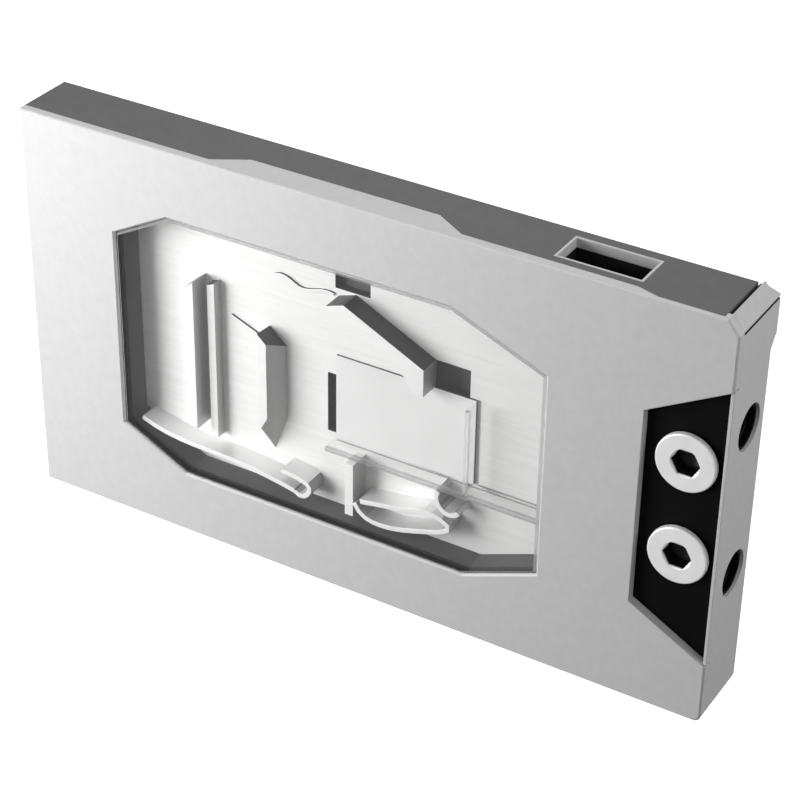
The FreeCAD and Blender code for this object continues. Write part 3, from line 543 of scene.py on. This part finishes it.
def socket_plug(name, node, material):
    """A turned plug with broken edges, a hexagon socket and a drilled point at its bottom."""
    low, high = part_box(node)
    head = (high[0] - low[0]) / 2
    front, end = low[1], high[1]
    head_back = front + PLUG_HEAD_T
    socket_end = front + PLUG_SOCKET
    outline = ((PLUG_SHANK_R - PLUG_SHANK_BREAK, end, False),
               (PLUG_SHANK_R, end - PLUG_SHANK_BREAK, False),
               (PLUG_SHANK_R, head_back, False),
               (head - PLUG_BREAK / 2, head_back, False),
               (head, head_back - PLUG_BREAK / 2, False),
               (head, front + PLUG_BREAK, False),
               (head - PLUG_BREAK * PLUG_BREAK_MIDDLE, front + PLUG_BREAK * PLUG_BREAK_MIDDLE, False),
               (head - PLUG_BREAK, front, False),
               (PLUG_MOUTH_R, front, False),
               (PLUG_FLATS / 2, front + PLUG_MOUTH_SINK, True),
               (PLUG_FLATS / 2, socket_end, True),
               (PLUG_FLATS / 2 - PLUG_POINT_SHOULDER[0], socket_end + PLUG_POINT_SHOULDER[1], False),
               (PLUG_POINT_R, socket_end + PLUG_POINT_DEPTH, False))
    middle_x, middle_z = (low[0] + high[0]) / 2, (low[2] + high[2]) / 2
    rows = [plug_row(middle_x, middle_z, *step) for step in outline]
    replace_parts(add_piece(name, rows, material), node)


def make_details():
    """Threads in the two open end ports, and turned plugs in place of the plain ones."""
    # the threads take the black terminal's finish: painted shade that keeps the open port bores dark
    port_shade_black = NODES["port_terminal"].data.materials[0]
    middle_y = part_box("end_plate")[0][1] + END_PORT_IN
    for name, rise in zip(("lower", "upper"), END_PORT_RISES):
        port_thread("port_thread_" + name, middle_y, rise, port_shade_black)
        node = "port_plug_" + name
        socket_plug("plug_" + name, node, turned_plug("nickel_" + node, node))


# ---- studio ------------------------------------------------------------------------------------
def make_camera():
    """A long lens, with the small roll of the shot."""
    out = Vector((math.sin(AZIMUTH) * math.cos(ELEVATION), -math.cos(AZIMUTH) * math.cos(ELEVATION),
                  math.sin(ELEVATION)))
    right = (-out).cross(Vector((0, 0, 1))).normalized()
    up = right.cross(-out)
    turned_right = math.cos(ROLL) * right + math.sin(ROLL) * up
    turned_up = -math.sin(ROLL) * right + math.cos(ROLL) * up
    data = bpy.data.cameras.new("camera")
    data.lens = LENS
    data.sensor_width = SENSOR
    data.clip_start = CLIP_START
    camera = bpy.data.objects.new("camera", data)
    axes = Matrix((turned_right, turned_up, out)).transposed().to_4x4()
    camera.matrix_world = Matrix.Translation(AIM + DISTANCE * out) @ axes
    bpy.context.collection.objects.link(camera)
    bpy.context.scene.camera = camera


def soft_box(name, place, aim, size, power):
    """A rectangular area light at a place, turned to what it lights."""
    data = bpy.data.lights.new(name, "AREA")
    data.shape = "RECTANGLE"
    data.size, data.size_y = size
    data.energy = power
    light = bpy.data.objects.new(name, data)
    light.location = place
    light.rotation_euler = (Vector(aim) - Vector(place)).to_track_quat("-Z", "Y").to_euler()
    bpy.context.collection.objects.link(light)


def make_world():
    """A room that is lighter on one side and behind the block, and white where it is looked at."""
    world = bpy.data.worlds.new("studio")
    bpy.context.scene.world = world
    world.use_nodes = True
    room = Nodes(world.node_tree)
    glows = []
    for side, (start, full), (low, high) in ((LIGHT_SIDE, LIGHT_SIDE_SPAN, LIGHT_SIDE_GLOW),
                                             (BACK_SIDE, BACK_SIDE_SPAN, BACK_SIDE_GLOW)):
        cosine = room.add("ShaderNodeVectorMath", operation="DOT_PRODUCT")
        cosine.inputs[1].default_value = Vector(side).normalized()
        room.link(room.add("ShaderNodeTexCoord").outputs["Generated"], cosine.inputs[0])
        glows.append(room.span(cosine.outputs["Value"], low, high, start, full))
    is_seen = room.add("ShaderNodeLightPath").outputs["Is Camera Ray"]
    colour = room.maths("MAXIMUM", room.maths("ADD", *glows), is_seen)
    room.link(colour, world.node_tree.nodes["Background"].inputs["Color"])


def make_floor():
    """A pale floor that is seen, but isn't mirrored in the block and doesn't light it."""
    shader = Shader("floor")
    shader.tint(shader.noise(3), darker(FLOOR_COLOUR, FLOOR_GRAIN), FLOOR_COLOUR)
    shader.set(Roughness=0.9, Specular_IOR_Level=0.1, Emission_Color=(1, 1, 1, 1),
               Emission_Strength=FLOOR_GLOW)
    mesh = bpy.data.meshes.new("floor")
    half = FLOOR_SIZE / 2
    mesh.from_pydata([(-half, -half, 0), (half, -half, 0), (half, half, 0), (-half, half, 0)], [],
                     [(0, 1, 2, 3)])
    mesh.materials.append(shader.material)
    floor = bpy.data.objects.new("floor", mesh)
    bpy.context.collection.objects.link(floor)
    floor.visible_diffuse = False
    floor.visible_glossy = False


def make_studio():
    make_camera()
    make_world()
    make_floor()
    soft_box("key", KEY_PLACE, KEY_AIM, KEY_SIZE, KEY_POWER)
    soft_box("overhead", OVERHEAD_PLACE, OVERHEAD_AIM, OVERHEAD_SIZE, OVERHEAD_POWER)
    soft_box("side", SIDE_PLACE, SIDE_AIM, SIDE_SIZE, SIDE_POWER)
    bpy.context.scene.view_settings.view_transform = "Standard"


dress_frame()
make_details()
make_studio()
